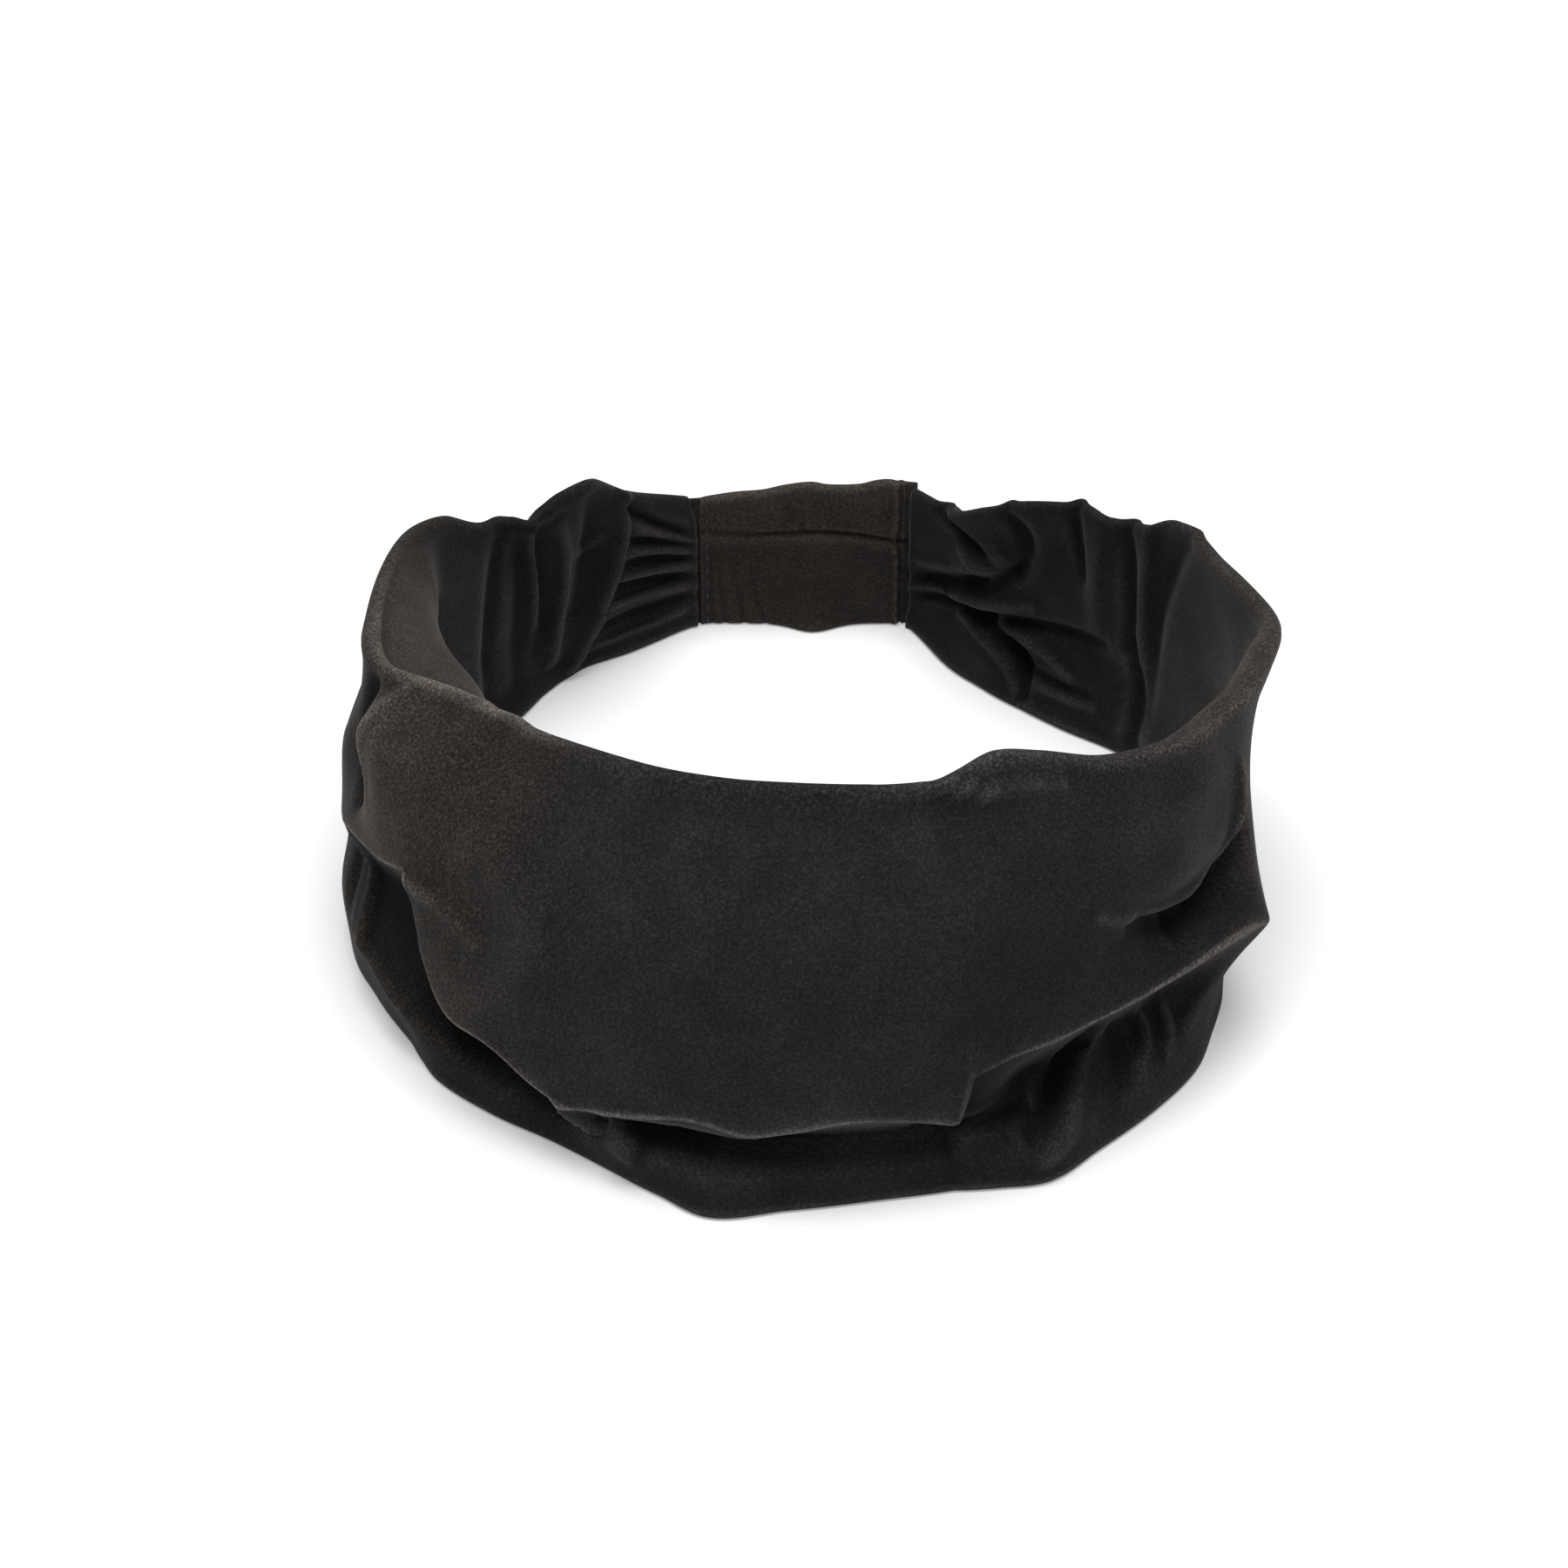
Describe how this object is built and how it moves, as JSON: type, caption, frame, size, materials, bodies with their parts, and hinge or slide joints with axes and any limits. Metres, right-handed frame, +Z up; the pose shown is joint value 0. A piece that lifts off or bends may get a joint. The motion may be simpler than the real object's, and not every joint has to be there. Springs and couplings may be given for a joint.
{
  "type": "wide headband",
  "caption": "Wide black stretch headband: a doubled jersey band, smooth in front, slumped into folds at the sides and gathered into an elastic casing at the back.",
  "frame": {"origin": "on the surface that the headband stands on, under the middle of its bounding box", "axes": "+Z up, +Y towards the back, where the elastic casing is, and +X towards the right as seen from the front"},
  "size_m": [0.166, 0.179, 0.0771],
  "materials": {
    "band_jersey": "brushed stretch jersey, matt with a soft fuzzy sheen",
    "casing_jersey": "the same jersey, pulled flatter over the elastic"
  },
  "bodies": {
    "root": {"band": "band_jersey", "elastic_casing": "casing_jersey"}
  },
  "joints": []
}
